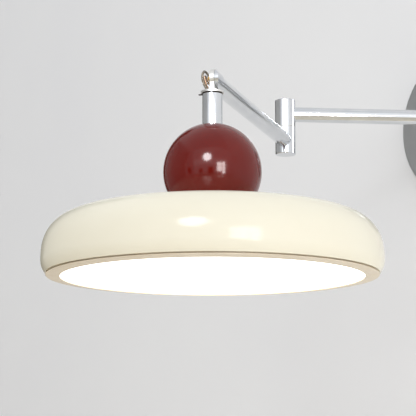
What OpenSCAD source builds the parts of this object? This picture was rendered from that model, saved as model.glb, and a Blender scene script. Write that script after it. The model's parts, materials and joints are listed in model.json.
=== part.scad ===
// Swing-arm wall lamp with a dome shade, a ball above it and two folding arms.
// The origin is the centre of the wall bracket's back face, on the wall plane y = 0.
// The lamp stands out along -Y, and +Z is up.

/* [Pose] */
// Angle of the first arm from the wall's normal, in degrees
arm1_angle = -29.5; // [-60:0.5:60]
// Angle of the second arm from the line of the first, in degrees
fold_angle = 66.5; // [30:0.5:90]

/* [Wall plate] */
// Diameter of the wall plate
plate_d = 160; // [150:1:200]
// Depth of the wall plate from the wall
plate_depth = 20; // [19:0.5:26]
// Wall of the spun wall plate
plate_wall = 1.5; // [1:0.1:2]
// Radius of the wall plate's front edge
plate_edge_r = 4; // [2:0.5:6]
// Thickness of the strap that is screwed to the wall
strap_t = 2; // [1.5:0.1:3]
// Height of the strap that is screwed to the wall
strap_h = 22; // [18:1:30]
// Distance between the two slots for the wall screws
slot_spacing = 100; // [90:1:110]
// Width of each slot for a wall screw
slot_w = 5; // [4:0.1:6]
// Length of each slot for a wall screw
slot_len = 11; // [9:0.5:14]
// Bore of the cord inlet's grommet
inlet_d = 7; // [6:0.5:8]

/* [Pivots] */
// Distance from the wall plate's face to the first pivot
standoff = 30; // [29:1:45]
// Diameter of the upright pivot barrels
barrel_d = 22; // [21:0.5:26]
// Height of each pivot barrel
barrel_h = 28.8; // [27:0.2:36]
// Wall of the pivot barrels
barrel_wall = 1.5; // [1.2:0.1:2]
// Thickness of the floor in each pivot barrel
floor_t = 3; // [2:0.1:4]
// Thickness of each ear of the wall fork
ear_t = 7; // [6.5:0.5:10]
// Thickness of the web of the wall fork
web_t = 7; // [5:0.5:9]
// Shank diameter of the pivot screws at the wall
pivot_screw_d = 6; // [5:0.5:7]
// Outer diameter of the hollow pivot at the elbow
hollow_pin_d = 10; // [9.5:0.1:10.5]
// Bore of the hollow pivot at the elbow
hollow_pin_bore = 7; // [6:0.1:7.4]
// Radial running clearance of every turning fit
run_clear = 0.05; // [0.02:0.01:0.1]
// Thickness of the friction washers
washer_t = 0.5; // [0.3:0.1:0.8]

/* [Arms] */
// Length of the first arm between its pivots
arm1_len = 160; // [120:5:250]
// Length of the second arm between its pivots
arm2_len = 255; // [180:5:320]
// Diameter of the arm tubes
tube_d = 16; // [15:0.5:18]
// Wall of the arm tubes
tube_wall = 1.2; // [1:0.1:1.6]

/* [Knuckle] */
// Thickness of the tongue that hangs in the knuckle
tongue_t = 4.2; // [3.5:0.1:5]
// Sideways shift of the tongue towards the knuckle's lug
tongue_shift = 1.7; // [0:0.1:2]
// Side gap between the tongue and the knuckle's lug
tongue_gap = 0.3; // [0.3:0.1:0.6]
// Diameter of the brass pivot screw
knuckle_pin_d = 2.8; // [2.4:0.1:3.4]
// Height of the tilt pivot over the second arm's axis
pivot_rise = 2; // [0:0.2:3]
// Drop from the knuckle's pivot to the top of the swivel flange
flange_drop = 12.3; // [11:0.1:16]
// Diameter of the swivel flange
flange_d = 21; // [20:0.1:23]
// Thickness of the swivel flange
flange_t = 1.6; // [1.2:0.1:2.4]
// Thickness of the dark tab washer under the flange
tab_t = 0.8; // [0.5:0.1:1.2]
// Outer diameter of the hollow stem under the flange
stem_d = 12.4; // [12:0.1:12.8]
// Bore of the hollow stem under the flange
stem_bore = 10.4; // [9.6:0.1:10.4]
// Diameter of one clear lead over its insulation
lead_d = 2.2; // [1.8:0.1:2.2]

/* [Neck and ball] */
// Diameter of the neck tube
neck_d = 18; // [17.4:0.1:19]
// Length of the neck tube
neck_len = 28.4; // [26:0.2:60]
// Diameter of the ball
ball_d = 87.5; // [80:0.5:96]
// Diameter of the flat seat on which the ball stands
ball_foot_d = 53.4; // [46:0.2:58]
// Wall of the ball
ball_wall = 1.2; // [0.8:0.1:2]

/* [Shade] */
// Diameter of the shade at its widest
shade_d = 300; // [280:2:400]
// Inward tuck of the shade's lower edge from its widest line
shade_tuck = 4; // [2:0.5:10]
// Height of the shade's lower edge over the diffuser ring's lowest edge
shade_edge_z = 2.9; // [2.4:0.1:4]
// Height of the shade's widest line
shade_waist_z = 15; // [12:0.5:20]
// Height of the shade's shoulder
shade_shoulder_z = 56.8; // [50:0.2:80]
// Width of the shade's rounded side, from the widest line in to the shoulder
shade_side_w = 45.5; // [35:0.5:60]
// Rise of the shade's crown over its shoulder
crown_rise = 4; // [2:0.5:8]
// Wall of the spun shade
shade_wall = 1.2; // [0.8:0.1:2]
// Fullness of the rounded side: 2 is an ellipse, more is squarer
side_power = 2.45; // [2:0.05:3]

/* [Light unit] */
// Width of the bevelled ring, from the shade's edge in to the diffuser
bezel_w = 13; // [12:0.5:20]
// Thickness of the opal diffuser
diffuser_t = 3; // [2:0.1:4]
// Width of the ledge that the diffuser lies on
ledge_w = 3; // [2:0.1:4]
// Thickness of the ledge that the diffuser lies on
ledge_z = 1.2; // [1:0.1:1.6]
// Diameter of the aluminium plate that carries the light board
carrier_d = 250; // [220:2:254]
// Height of the plate that carries the light board
carrier_z = 21.5; // [18:0.5:24]
// Thickness of the plate that carries the light board
carrier_t = 1.5; // [1:0.1:2]
// Thickness of the light board
board_t = 1.5; // [1:0.1:2]
// Length of the driver's case
driver_l = 70; // [60:1:80]
// Height of the driver's case
driver_h = 20; // [16:1:22]

/* [Hidden] */
$fn = 96;
eps = 0.01;
chrome = "#c9ccce";
steel = "#8f9498";
nickel = "#b4b4b0";
brass = "#b9903f";
cream = "#f2efe0";
burgundy = "#7a2c2c";
nylon = "#ececec";

// Wall plate and strap
plate_r = plate_d / 2;
plate_in_r = plate_r - plate_wall;
strap_clear = 0.3;
strap_half = plate_in_r - strap_clear;
strap_tab_y = plate_depth - plate_edge_r - 2;
plate_screw_y = plate_depth / 2 + 1;
plate_screw_d = 4;
plate_screw_len = 7;
plate_head_d = 7;
plate_head_h = 2.2;
hole_clear = 0.2;
grommet_y = plate_depth / 2;
grommet_hole_d = inlet_d + 4;
grommet_flange_w = 2;
grommet_flange_t = 1.5;
grommet_sag = 0.6;
block_x = 13;
block_l = 22;
block_d = 12;
block_h = 18;
block_well_z = 5;
block_well_d = 4;
block_well_floor = 4;
block_screw_d = 3;
block_head_d = 4.4;
block_head_h = 1.8;
clamp_screw_d = 2.6;
clamp_screw_len = 4;
clamp_head_h = 1.6;

// Wall fork
pivot_y = -(plate_depth + standoff);
spigot_d = 10;
spigot_bore = 6;
spigot_rear_y = 9;
boss_d = 34;
boss_t = 5;
web_clear = 1;
web_front_y = pivot_y + barrel_d / 2 + web_clear;
web_rear_y = web_front_y + web_t;
ear_z = barrel_h / 2 + washer_t;
fork_nut_t = 4;
fork_nut_af = 15;
fork_washer_t = 1;
head_d = 10;
head_t = 3;
head_inset = 0.4;
socket_af = 3;
socket_depth = 1.6;
window_h = 6;
pivot_shank = ear_t - head_t + washer_t + floor_t - head_inset;
window_from = -12;
window_span = 204;
lead_end_gap = 0.4;

// Barrels and tubes
barrel_r = barrel_d / 2;
barrel_in_r = barrel_r - barrel_wall;
barrel_mid_r = barrel_r - barrel_wall / 2;
barrel_half = barrel_h / 2;
tube_r = tube_d / 2;
tube_in_r = tube_r - tube_wall;
tube_end = barrel_r - 4;
split_gap = washer_t / 2;
cap_t = 3;
cap_chamfer = 0.6;
washer_inset = 0.4;
pin_nut_t = 4;
pin_nut_d = 13.4;
spring_t = 0.8;
pin_top_z = barrel_half + split_gap + floor_t + spring_t + pin_nut_t + 1;
pin_bottom_z = barrel_half - split_gap - floor_t - pin_nut_t - 1;

// Knuckle
lug_x = tongue_shift + tongue_t / 2 + tongue_gap;
pin_head_x = tongue_shift - tongue_t / 2 - tongue_gap;
lug_r = tube_r;
shoulder_y = 9;
plug_len = 16;
knuckle_head_d = 4;
knuckle_head_t = 3.2;
knuckle_pin_depth = 2.8;
tongue_w = 13;
pin_tip_clear = 0.2;
stem_len = 9;
stem_nut_t = 3;
stem_nut_wall = 0.6;
collar_t = 4;
lead_pitch = lead_d + 0.2;
bend_r = 4;
lead_room = 0.6;
lead_joint_gap = 0.2;
lug_lead_x = 4.4;
lead_shift_l = 33;
flange_lead_x = 3.9;
flange_lead_y = 1.5;
flange_slot_w = 3.2;
swivel_gap = 0.1;
tab_out = 2.3;
tab_w = 2;

// Neck, ball and shade, with heights over the lowest edge of the light ring
shade_r = shade_d / 2;
shade_edge_r = shade_r - shade_tuck;
shoulder_r = shade_r - shade_side_w;
edge_power = 2.3;
seat_margin = 5;
seat_r = ball_foot_d / 2 + seat_margin;
function crown_z(r) = shade_shoulder_z + crown_rise * pow(1 - pow(r / shoulder_r, 2), 2);
seat_z = crown_z(seat_r);
ball_r = ball_d / 2;
ball_z = seat_z + sqrt(pow(ball_r, 2) - pow(ball_foot_d / 2, 2));
ball_flat_r = neck_d / 2 + 0.4;
ball_top_z = ball_z + sqrt(pow(ball_r, 2) - pow(ball_flat_r, 2));
neck_top_z = ball_top_z + neck_len;
knuckle_z = neck_top_z + tab_t + flange_t + flange_drop;
neck_in_r = neck_d / 2 - tube_wall;
foot_t = 8;
rod_d = 10;
rod_bore = 7;
rod_nut_t = 4;
rod_nut_af = 16;
bar_t = 2;
bar_w = 20;
bar_half = 30;
bar_foot = 14;
bar_top_z = seat_z - shade_wall;
rod_bottom_z = bar_top_z - bar_t - rod_nut_t - 2;

// Light unit
bezel_r = shade_edge_r - bezel_w;
bezel_out_r = shade_edge_r - 0.1;
bezel_slope_z = shade_edge_z - 0.3;
upstand_r = shade_edge_r - shade_wall - 0.5;
upstand_t = 1.4;
upstand_h = 9;
bead_out = 0.9;
bead_z = 0.7;
bead_h = 1;
diffuser_clear = 0.2;
bezel_top_z = ledge_z + diffuser_t;
carrier_rim = 5;
board_d = carrier_d - 10;
driver_w = 28;
driver_y = 22;
driver_ear = 9;
driver_lead_z = carrier_z + carrier_t + driver_h / 2;
board_hole_x = driver_l / 2 + 14;
board_hole_d = 6;
screw_m3 = 3;
screw_m4 = 4;
carrier_head_d = 7.5;
carrier_head_h = 2.4;
driver_head_d = 5.6;
driver_head_h = 2;
driver_ear_w = 12;
driver_ear_t = 2;
chip_rings = [[38, 8], [76, 16], [108, 24]];
chip_l = 3.5;
chip_w = 2.8;
chip_t = 0.7;
clip_l = 8;
clip_w = 10;
clip_t = 0.8;
clip_inset = 0.5;

// Frames of the moving pieces at rest
module arm1_frame() translate([0, pivot_y, 0]) rotate([0, 0, arm1_angle]) children();
module arm2_frame() arm1_frame() translate([0, -arm1_len, -barrel_h]) rotate([0, 0, fold_angle])
    children();
module head_frame() arm2_frame() translate([0, -arm2_len, pivot_rise]) children();
module light_frame() head_frame() translate([0, 0, -knuckle_z]) children();

// Common shapes
module ring(r_out, r_in, h) difference() {
    cylinder(r = r_out, h = h);
    translate([0, 0, -eps]) cylinder(r = r_in, h = h + 2 * eps);
}
module hex_nut(af, bore_r, h) difference() {
    cylinder(r = af / sqrt(3), h = h, $fn = 6);
    translate([0, 0, -eps]) cylinder(r = bore_r, h = h + 2 * eps);
}
module along_y(y) translate([0, y, 0]) rotate([-90, 0, 0]) children();
module pan_screw(d, len, head_w, head_h) {
    cylinder(d = d, h = len);
    translate([0, 0, len]) difference() {
        cylinder(d = head_w, h = head_h);
        translate([-head_w, -0.5, head_h / 2]) cube([2 * head_w, 1, head_h]);
    }
}

// Swept tubes for the leads
function unit(v) = v / norm(v);
function bend(a, b, c, d, t) = 0.5 * (2 * b + (c - a) * t + (2 * a - 5 * b + 4 * c - d) * t * t
    + (3 * b - a - 3 * c + d) * t * t * t);
function pick(p, i) = p[max(0, min(len(p) - 1, i))];
function smooth(p, n) = [for (i = [0:len(p) - 2]) for (j = [0:n - 1])
    bend(pick(p, i - 1), p[i], p[i + 1], pick(p, i + 2), j / n), p[len(p) - 1]];
function tangent(p, i) = unit(pick(p, i + 1) - pick(p, i - 1));
function side_of(t, ref) = unit(ref - (ref * t) * t);
function ring_at(c, u, w, r, n) = [for (k = [0:n - 1]) c + r * (cos(360 * k / n) * u + sin(360 * k / n) * w)];
module swept(p, offset, turn, ref, sides = 8) {
    rings = [for (i = [0:len(p) - 1])
        let (t = tangent(p, i), u = side_of(t, ref), w = cross(t, u), a = turn[0] + (turn[1] - turn[0])
            * i / (len(p) - 1), c = p[i] + offset * (cos(a) * u + sin(a) * w))
        ring_at(c, u, w, lead_d / 2, sides)];
    last = (len(p) - 1) * sides;
    body = [for (i = [0:len(p) - 2]) for (k = [0:sides - 1]) let (m = (k + 1) % sides)
        each [[i * sides + k, (i + 1) * sides + k, (i + 1) * sides + m],
            [i * sides + k, (i + 1) * sides + m, i * sides + m]]];
    polyhedron([for (r = rings) each r],
        concat([[for (k = [0:sides - 1]) k]], body, [[for (k = [sides - 1:-1:0]) last + k]]));
}
module lead_pair(p, turn = [0, 0], ref = [1, 0, 0]) for (s = [-1, 1])
    swept(p, s * lead_pitch / 2, turn, ref);

// Wall plate group
module slot(len, w, depth) for (s = [-1, 1]) {
    translate([s * (len - w) / 2, 0, 0]) cylinder(d = w, h = depth);
    translate([-(len - w) / 2, -w / 2, 0]) cube([len - w, w, depth]);
}
module wall_bracket() color(steel) difference() {
    union() {
        translate([-plate_r, -strap_t, -strap_h / 2]) cube([plate_d, strap_t, strap_h]);
        for (s = [0, 1]) mirror([s, 0, 0]) translate([strap_half - strap_t, -strap_tab_y, -strap_h / 2])
            cube([plate_r - strap_half + strap_t, strap_tab_y, strap_h]);
    }
    strap_corners();
    for (s = [-1, 1]) {
        translate([s * slot_spacing / 2, eps, 0]) rotate([90, 0, 0])
            slot(slot_len, slot_w, strap_t + 2 * eps);
        translate([s * strap_half, -plate_screw_y, 0]) rotate([0, 90, 0])
            cylinder(d = plate_screw_d, h = 3 * strap_t, center = true);
    }
    translate([block_x + block_l / 2, eps, 0]) rotate([90, 0, 0])
        cylinder(d = block_screw_d, h = strap_t + 2 * eps);
}
module strap_corners() rotate([90, 0, 0]) translate([0, 0, -1])
    difference() {
        cylinder(r = 2 * plate_r, h = plate_depth + 2);
        translate([0, 0, -1]) cylinder(r = strap_half, h = plate_depth + 4);
    }
module plate_outline(r, depth, edge) {
    square([r - edge, depth]);
    square([r, depth - edge]);
    translate([r - edge, depth - edge]) circle(r = edge);
}
module wall_plate() color(chrome) difference() {
    rotate([90, 0, 0]) rotate_extrude() intersection() {
        square([plate_r + 1, plate_depth + 1]);
        difference() {
            plate_outline(plate_r, plate_depth, plate_edge_r);
            translate([-1, -1]) plate_outline(plate_in_r + 1, plate_depth - plate_wall + 1,
                plate_edge_r - plate_wall);
        }
    }
    rotate([90, 0, 0]) cylinder(d = spigot_d + hole_clear, h = plate_depth + 1);
    for (s = [0, 1]) mirror([s, 0, 0]) translate([plate_in_r - 1, -plate_screw_y, 0]) rotate([0, 90, 0])
        cylinder(d = plate_screw_d + hole_clear, h = plate_wall + 2);
    translate([0, -grommet_y, -plate_r - 1]) cylinder(d = grommet_hole_d, h = plate_wall + 2);
}
module plate_screws() color(nickel) for (s = [0, 1]) mirror([s, 0, 0])
    translate([plate_r - plate_screw_len, -plate_screw_y, 0]) rotate([0, 90, 0])
        pan_screw(plate_screw_d, plate_screw_len, plate_head_d, plate_head_h);
module terminal_block() color(nylon) difference() {
    translate([block_x, -strap_t - block_d, -block_h / 2]) cube([block_l, block_d, block_h]);
    for (z = [-block_well_z, block_well_z]) translate([block_x + block_l / 2, -strap_t - block_d - 1, z])
        rotate([-90, 0, 0]) cylinder(d = block_well_d, h = block_d + 1 - block_well_floor);
    translate([block_x + block_l / 2, -strap_t + 1, 0]) rotate([90, 0, 0])
        cylinder(d = block_screw_d, h = block_d + 2);
}
module block_screw() color(nickel) translate([block_x + block_l / 2, 0, 0]) rotate([90, 0, 0])
    pan_screw(block_screw_d, strap_t + block_d, block_head_d, block_head_h);
module terminal_screws() color(brass) for (z = [-block_well_z, block_well_z])
    translate([block_x + block_l / 2, -strap_t - block_well_floor, z]) rotate([90, 0, 0])
        pan_screw(clamp_screw_d, clamp_screw_len, block_well_d - hole_clear, clamp_head_h);
module cord_grommet() color("#2a2a2a") translate([0, -grommet_y, -plate_r + plate_wall / 2])
    difference() {
        union() {
            for (s = [0, 1]) mirror([0, 0, s]) translate([0, 0, plate_wall / 2 + grommet_sag])
                cylinder(d = grommet_hole_d + 2 * grommet_flange_w, h = grommet_flange_t);
            cylinder(d = grommet_hole_d - hole_clear, h = plate_wall + 2 * grommet_sag + 0.2, center = true);
        }
        cylinder(d = inlet_d, h = 20, center = true);
    }

// Wall fork and its pivot
module ear(z) translate([0, 0, z]) difference() {
    union() {
        translate([0, pivot_y, 0]) cylinder(r = barrel_r, h = ear_t);
        translate([-barrel_r, pivot_y, 0]) cube([barrel_d, web_front_y - pivot_y + 1, ear_t]);
    }
    translate([0, pivot_y, -1]) cylinder(d = pivot_screw_d, h = ear_t + 2);
}
module wall_fork() color(chrome) difference() {
    union() {
        ear(ear_z);
        ear(-ear_z - ear_t);
        translate([-barrel_r, web_front_y, -ear_z - ear_t]) cube([barrel_d, web_t, 2 * (ear_z + ear_t)]);
        along_y(web_rear_y - 1) cylinder(r = tube_r, h = -plate_depth - web_rear_y + 1);
        along_y(-plate_depth - boss_t) cylinder(d = boss_d, h = boss_t);
        along_y(-plate_depth - 1) cylinder(d = spigot_d, h = plate_depth + 1 - spigot_rear_y);
    }
    along_y(pivot_y) cylinder(d = spigot_bore, h = -pivot_y);
    for (s = [0, 1]) mirror([0, 0, s]) translate([0, pivot_y, ear_z + ear_t - head_t])
        cylinder(d = head_d + 2 * hole_clear, h = head_t + 1);
}
module fork_washer() color(steel) along_y(-plate_depth + plate_wall)
    ring(fork_nut_af / 2 + 1.5, (spigot_d + hole_clear) / 2, fork_washer_t);
module fork_nut() color(nickel) along_y(-plate_depth + plate_wall + fork_washer_t)
    hex_nut(fork_nut_af, spigot_d / 2, fork_nut_t);
module wall_pivot_screws() color(nickel) for (s = [0, 1]) mirror([0, 0, s])
    translate([0, pivot_y, ear_z + ear_t - head_t]) difference() {
        union() {
            translate([0, 0, -pivot_shank]) cylinder(d = pivot_screw_d, h = pivot_shank);
            cylinder(d = head_d, h = head_t - head_inset);
        }
        translate([0, 0, head_t - head_inset - socket_depth])
            cylinder(r = socket_af / sqrt(3), h = socket_depth + 1, $fn = 6);
    }
module wall_pivot_washers() color(nylon) for (s = [0, 1]) mirror([0, 0, s])
    translate([0, pivot_y, barrel_half])
        ring(barrel_r - washer_inset, pivot_screw_d / 2 + run_clear, washer_t);
module wall_leads() color(brass) {
    end_y = pivot_y + lead_d / 2 + lead_end_gap;
    rear_y = -spigot_rear_y;
    route = [[block_x, rear_y + 1.8, 0], [9, rear_y + 1.8, 0], [5.5, rear_y + 1.8, 0], [2.2, rear_y + 1.4, 0],
        [0.3, rear_y - 0.6, 0], [0, rear_y - 3, 0], [0, rear_y - 10, 0], [0, (rear_y + end_y) / 2, 0],
        [0, end_y, 0]];
    lead_pair(smooth(route, 3), [0, 0], [0, 0, 1]);
}

// Upright barrel with a side seat for the arm tube, which leaves along dir
module barrel_shell(dir) difference() {
    translate([0, 0, -barrel_half]) cylinder(r = barrel_r, h = barrel_h);
    translate([0, 0, -barrel_half - 1]) cylinder(r = barrel_in_r, h = barrel_h + 2);
    tube_seat(dir);
}
module tube_seat(dir) rotate([90, 0, 0]) mirror([0, 0, dir > 0 ? 1 : 0])
    cylinder(r = tube_r, h = barrel_r + 1);

// First arm
module arm1_rear_barrel() color(chrome) arm1_frame() {
    difference() {
        barrel_shell(-1);
        translate([0, 0, -window_h / 2]) rotate([0, 0, window_from]) rotate_extrude(angle = window_span)
            translate([barrel_in_r - 1, 0]) square([barrel_wall + 3, window_h]);
    }
    for (s = [0, 1]) mirror([0, 0, s]) translate([0, 0, barrel_half - floor_t])
        ring(barrel_mid_r, pivot_screw_d / 2 + run_clear, floor_t);
}
module tube_piece(len) rotate([90, 0, 0]) ring(tube_r, tube_in_r, len);
module arm1_tube() color(chrome) arm1_frame() translate([0, -tube_end, 0])
    tube_piece(arm1_len - 2 * tube_end);
module elbow_upper_barrel() color(chrome) arm1_frame() translate([0, -arm1_len, 0]) {
    difference() {
        barrel_shell(1);
        translate([0, 0, -barrel_half - 1]) cylinder(r = barrel_r + 1, h = 1 + split_gap);
    }
    translate([0, 0, -barrel_half + split_gap]) ring(barrel_mid_r, hollow_pin_d / 2 + run_clear, floor_t);
}
module end_cap() {
    translate([0, 0, barrel_half - cap_t]) cylinder(r = barrel_in_r, h = cap_t + eps);
    translate([0, 0, barrel_half]) cylinder(r = barrel_r, h = cap_chamfer / 2);
    translate([0, 0, barrel_half + cap_chamfer / 2]) cylinder(r1 = barrel_r, r2 = barrel_r - cap_chamfer,
        h = cap_chamfer);
}
module elbow_top_cap() color(chrome) arm1_frame() translate([0, -arm1_len, 0]) end_cap();
module arm1_leads() color(brass) arm1_frame() {
    start_y = -lead_d / 2 - lead_end_gap;
    turn_y = -arm1_len + bend_r;
    straight = [for (i = [0:8]) [0, start_y + (turn_y + 1 - start_y) * i / 8, 0]];
    corner = [for (i = [0:6]) let (a = 15 * i) [0, turn_y - bend_r * sin(a), -bend_r * (1 - cos(a))]];
    drop = [[0, -arm1_len, -barrel_half / 2], [0, -arm1_len, -barrel_half]];
    lead_pair(concat(straight, corner, drop), [90, 0]);
}

// Elbow pieces that turn with the second arm
module elbow_friction_washer() color(nylon) arm2_frame() translate([0, 0, barrel_half - split_gap])
    ring(barrel_r - washer_inset, hollow_pin_d / 2 + hole_clear / 2, washer_t);
module elbow_lower_barrel() color(chrome) arm2_frame() {
    difference() {
        barrel_shell(-1);
        translate([0, 0, barrel_half - split_gap]) cylinder(r = barrel_r + 1, h = 2);
    }
    translate([0, 0, barrel_half - split_gap - floor_t]) ring(barrel_mid_r, hollow_pin_d / 2, floor_t);
}
module elbow_bottom_cap() color(chrome) arm2_frame() mirror([0, 0, 1]) end_cap();
module elbow_hollow_pin() color(nickel) arm2_frame() translate([0, 0, pin_bottom_z])
    ring(hollow_pin_d / 2, hollow_pin_bore / 2, pin_top_z - pin_bottom_z);
module elbow_upper_nut() color(nickel) arm2_frame()
    translate([0, 0, barrel_half + split_gap + floor_t + spring_t])
        ring(pin_nut_d / 2, hollow_pin_d / 2, pin_nut_t);
module elbow_lower_nut() color(nickel) arm2_frame()
    translate([0, 0, barrel_half - split_gap - floor_t - pin_nut_t])
        ring(pin_nut_d / 2, hollow_pin_d / 2, pin_nut_t);
module elbow_spring_washer() color(steel) arm2_frame()
    translate([0, 0, barrel_half + split_gap + floor_t])
        ring(pin_nut_d / 2, (hollow_pin_d + hole_clear) / 2, spring_t);
module arm2_tube() color(chrome) arm2_frame() translate([0, -tube_end, 0])
    tube_piece(arm2_len - tube_end - shoulder_y);

// Knuckle
function tangent_at(y, z, side) =
    let (a = atan2(z, y) + side * acos(lug_r / norm([y, z]))) [lug_r * cos(a), lug_r * sin(a)];
module lug_profile() {
    top = tangent_at(shoulder_y, tube_r - pivot_rise, 1);
    low = tangent_at(shoulder_y, -tube_r - pivot_rise, -1);
    circle(r = lug_r);
    polygon([[0, 0], [-low[1], low[0]], [tube_r + pivot_rise, shoulder_y],
        [pivot_rise - tube_r, shoulder_y], [-top[1], top[0]]]);
}
module knuckle_lug() color(chrome) head_frame() difference() {
    union() {
        translate([0, 0, -pivot_rise]) along_y(shoulder_y) cylinder(r = tube_in_r, h = plug_len);
        intersection() {
            translate([lug_x, 0, 0]) rotate([0, 90, 0]) linear_extrude(tube_r) lug_profile();
            translate([0, 0, -pivot_rise]) along_y(-lug_r) linear_extrude(lug_r + shoulder_y) {
                circle(r = tube_r);
                translate([-tube_r, -pivot_rise]) square([2 * tube_r, pivot_rise]);
                translate([0, -pivot_rise]) circle(r = tube_r);
            }
        }
    }
    rotate([0, 90, 0]) cylinder(d = knuckle_pin_d, h = lug_x + knuckle_pin_depth);
    translate([-lug_lead_x, shoulder_y - 1, -pivot_rise]) rotate([-90, 0, 0]) lead_passage(plug_len + 2);
}
module lead_passage(len) for (s = [-1, 1]) translate([0, s * lead_pitch / 2, 0])
    cylinder(d = lead_d + 2 * lead_room, h = len);
module arm2_leads() color(brass) arm2_frame() {
    corner = [for (i = [0:6]) let (a = 15 * i) [0, -bend_r * (1 - cos(a)), bend_r * (1 - sin(a))]];
    rise = [[0, 0, barrel_half], [0, 0, barrel_half / 2]];
    plug_y = -(arm2_len - shoulder_y - plug_len);
    shift = [for (i = [0:6])
        [-lug_lead_x * (1 - cos(30 * i)) / 2, plug_y + 1 + lead_shift_l * (1 - i / 6), 0]];
    end = [[-lug_lead_x, plug_y - plug_len / 2, 0], [-lug_lead_x, plug_y - plug_len, 0]];
    run = [for (i = [1:5]) [0, -bend_r + (plug_y + lead_shift_l + 1 + bend_r) * i / 6, 0]];
    lead_pair(concat(rise, corner, run, shift, end), [0, 90]);
}
module loop_lead(p) swept(smooth(p, 4), 0, [0, 0], [1, 0.2, 0]);
module knuckle_leads() color("#d9b48c") head_frame() {
    inside_z = -flange_drop - flange_t - stem_len + lead_joint_gap;
    slot_z = -flange_drop - flange_t / 2;
    start_y = shoulder_y - lead_joint_gap;
    side = lead_pitch / 2;
    loop_lead([[-lug_lead_x, start_y, side - pivot_rise], [-lug_lead_x, start_y - 1.4, side - pivot_rise],
        [-4.6, 6, 0.9], [-5.2, 4.4, 3.8], [-6.3, 2.1, 6.3], [-7.5, -0.8, 6.7], [-8.2, -3.1, 3.6],
        [-8.1, -4.1, -0.4], [-7.3, -3.7, -4.2], [-5.9, -2.8, -7.6], [-4.7, -2, -9.8],
        [-flange_lead_x, -flange_lead_y, slot_z + 1.2], [-3.6, -flange_lead_y, slot_z - 0.8],
        [-3.1, -flange_lead_y, slot_z - 2.6], [-2.2, -1.4, slot_z - 4.2], [-0.9, -side, inside_z + 3.7],
        [0, -side, inside_z + 1.7], [0, -side, inside_z]]);
    loop_lead([[-lug_lead_x, start_y, -side - pivot_rise], [-lug_lead_x, start_y - 1.4, -side - pivot_rise],
        [-5.1, 5.9, -3], [-6, 4.4, -1.3], [-6.6, 2.7, 0.9], [-6.9, 1, 2.4], [-7.1, -0.4, 1.4],
        [-6.8, -0.8, -1], [-6.2, -0.2, -3.6], [-5.4, 0.6, -6.4], [-4.6, 1.2, -9],
        [-flange_lead_x, flange_lead_y, slot_z + 1.2], [-3.6, flange_lead_y, slot_z - 0.8],
        [-3.1, flange_lead_y, slot_z - 2.6], [-2.2, 1.4, slot_z - 4.2], [-0.9, side, inside_z + 3.7],
        [0, side, inside_z + 1.7], [0, side, inside_z]]);
}
module knuckle_yoke() color(chrome) head_frame() difference() {
    union() {
        translate([tongue_shift - tongue_t / 2, 0, 0]) {
            rotate([0, 90, 0]) cylinder(r = lug_r, h = tongue_t);
            translate([0, -tongue_w / 2, -flange_drop - eps]) cube([tongue_t, tongue_w, flange_drop]);
        }
        translate([0, 0, -flange_drop - flange_t]) cylinder(d = flange_d, h = flange_t);
        translate([0, 0, -flange_drop - flange_t - stem_len]) cylinder(d = stem_d, h = stem_len + eps);
    }
    translate([0, 0, -flange_drop - flange_t - stem_len - 1]) cylinder(d = stem_bore, h = stem_len + 1);
    rotate([0, 90, 0]) cylinder(d = knuckle_pin_d + 2 * run_clear, h = 4 * tongue_t, center = true);
    translate([-flange_lead_x, 0, -flange_drop - flange_t - eps]) rotate([0, 0, 90])
        slot(2 * flange_lead_y + flange_slot_w, flange_slot_w, flange_t + 2 * eps);
}
module knuckle_screw() color(brass) head_frame() translate([pin_head_x, 0, 0]) rotate([0, 90, 0]) {
    cylinder(d = knuckle_pin_d, h = lug_x - pin_head_x + knuckle_pin_depth - pin_tip_clear);
    translate([0, 0, -knuckle_head_t]) cylinder(d = knuckle_head_d, h = knuckle_head_t);
}
module knuckle_washer() color(brass) head_frame() translate([lug_x - tongue_gap, 0, 0]) rotate([0, 90, 0])
    ring(lug_r / 2, (knuckle_pin_d + hole_clear) / 2, tongue_gap);
module tab_washer() color("#33302e") head_frame() translate([0, 0, -flange_drop - flange_t - tab_t])
    difference() {
        union() {
            cylinder(r = neck_d / 2 + hole_clear, h = tab_t);
            translate([-flange_d / 2 - tab_out, -tab_w / 2, 0])
                cube([flange_d / 2 + tab_out - neck_d / 2 + tab_w, tab_w, tab_t]);
        }
        translate([0, 0, -1]) cylinder(r = stem_d / 2 + run_clear, h = tab_t + 2);
    }
module stem_nut() color(nickel) light_frame()
    translate([0, 0, neck_top_z - collar_t - stem_nut_t - swivel_gap])
        ring((neck_in_r + stem_d / 2 + stem_nut_wall) / 2, stem_d / 2, stem_nut_t);

// Neck and ball
module neck_tube() color(chrome) light_frame() translate([0, 0, ball_top_z])
    ring(neck_d / 2, neck_in_r, neck_len);
module neck_collar() color(nickel) light_frame() translate([0, 0, neck_top_z - collar_t])
    ring(neck_in_r, stem_d / 2 + run_clear, collar_t - swivel_gap);
module neck_foot() color(nickel) light_frame() translate([0, 0, ball_top_z])
    ring(neck_in_r, rod_d / 2, foot_t);
module center_rod() color(nickel) light_frame() translate([0, 0, rod_bottom_z])
    ring(rod_d / 2, rod_bore / 2, ball_top_z + foot_t - rod_bottom_z);
module ball_shell() color(burgundy) light_frame() difference() {
    translate([0, 0, ball_z]) sphere(r = ball_r, $fn = 128);
    intersection() {
        translate([0, 0, ball_z]) sphere(r = ball_r - ball_wall, $fn = 128);
        translate([0, 0, ball_top_z - ball_wall - ball_d]) cylinder(r = ball_r, h = ball_d);
    }
    translate([0, 0, seat_z - ball_r]) cylinder(r = ball_r, h = ball_r);
    translate([0, 0, ball_top_z]) cylinder(r = ball_r, h = ball_r);
    translate([0, 0, ball_z]) cylinder(d = rod_d + hole_clear, h = ball_r);
}

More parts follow.
